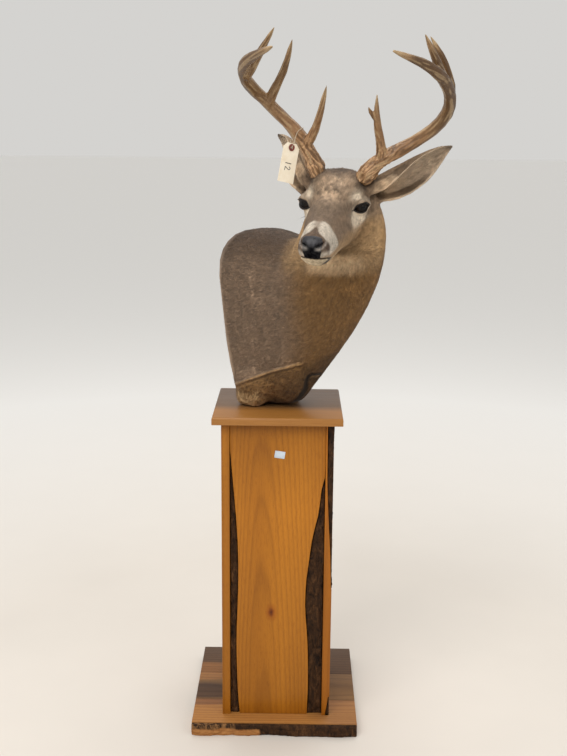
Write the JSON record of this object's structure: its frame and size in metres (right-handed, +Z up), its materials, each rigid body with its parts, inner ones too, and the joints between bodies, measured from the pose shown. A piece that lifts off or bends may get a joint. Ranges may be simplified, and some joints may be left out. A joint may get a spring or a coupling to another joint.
{
  "type": "shoulder mount on pedestal",
  "caption": "Whitetail buck shoulder mount with antlers and a paper tag, standing on a square wooden pedestal with live-edge bark.",
  "frame": {"origin": "centre of the underside of the pedestal's base, on the floor", "axes": "+Z up, -Y towards the pedestal's front, +X to the viewer's right when facing that front; the deer's chest points between +X and -Y and its face towards -Y"},
  "size_m": [0.5709, 0.6564, 1.6291],
  "materials": {
    "board_wood": "satin",
    "column_wood": "satin",
    "bark": "matte",
    "sticker_paper": "satin",
    "antler": "satin",
    "back_board_wood": "matte",
    "nose_skin": "satin",
    "eye_glass": "gloss",
    "tag_paper": "matte",
    "ring_fibre": "matte",
    "string_cotton": "matte",
    "hide": "matte"
  },
  "bodies": {
    "root": {"base_plank_1": "board_wood", "base_plank_2": "board_wood", "base_plank_3": "board_wood", "base_live_edge": "bark", "column_side_left": "column_wood", "column_side_right": "column_wood", "side_bark": "bark", "side_bark_foot": "bark", "column_front_slab": "column_wood", "slab_bark_left": "bark", "slab_bark_right": "bark", "column_back_panel": "column_wood", "blank_sticker": "sticker_paper", "top_board": "board_wood", "antler_right_base": "antler", "antler_right_middle": "antler", "antler_right_upper": "antler", "antler_right_tip": "antler", "antler_right_brow_tine": "antler", "antler_right_second_tine": "antler", "antler_right_third_tine": "antler", "antler_left_base": "antler", "antler_left_middle": "antler", "antler_left_upper": "antler", "antler_left_tip": "antler", "antler_left_brow_tine": "antler", "antler_left_second_tine": "antler", "antler_left_third_tine": "antler", "back_board": "back_board_wood", "ear_left": "hide", "ear_right": "hide", "nose_pad": "nose_skin", "head": "hide", "muzzle": "hide", "lower_jaw": "hide", "eye_left": "eye_glass", "eye_right": "eye_glass", "neck": "hide", "trunk": "hide", "foreleg_stump_left": "hide", "foreleg_stump_right": "hide", "tag": "tag_paper", "tag_ring": "ring_fibre", "tag_string": "string_cotton"}
  },
  "joints": []
}
